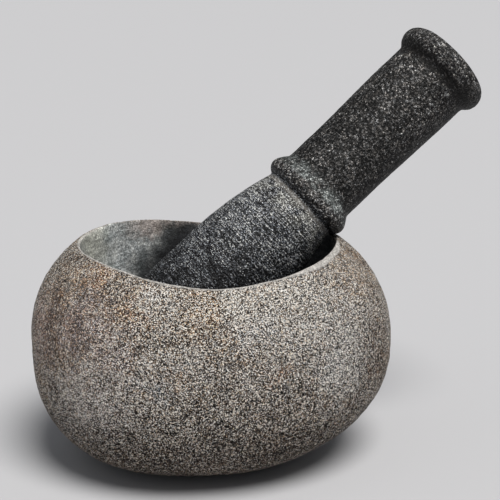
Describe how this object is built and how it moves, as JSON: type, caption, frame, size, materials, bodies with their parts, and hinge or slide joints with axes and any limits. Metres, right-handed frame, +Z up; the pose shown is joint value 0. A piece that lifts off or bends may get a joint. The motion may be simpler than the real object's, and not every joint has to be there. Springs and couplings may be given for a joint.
{
  "type": "mortar and pestle",
  "caption": "Mortar hollowed from one rounded river stone with a flat ground foot, and a turned stone pestle with a club head, a bead and a rolled end that leans in it.",
  "frame": {"origin": "where the hollow's upright axis meets the flat foot, on the surface that the mortar stands on", "axes": "+Z up along the hollow's axis; +X towards the stone's longer side, over which the pestle leans; +Y to the back, so the view from -Y is the front"},
  "size_m": [0.2267, 0.1614, 0.213],
  "materials": {
    "river_stone": "natural water-worn outside, honed inside and along the rim",
    "dark_granite": "turned, fine matt tool marks"
  },
  "bodies": {
    "mortar": {"mortar": "river_stone"},
    "pestle": {"pestle": "dark_granite"}
  },
  "joints": [
    {"name": "pestle_lift", "type": "slide", "parent": "mortar", "child": "pestle", "axis": [0, 0, 1], "range_m": [0, 0.11]}
  ]
}
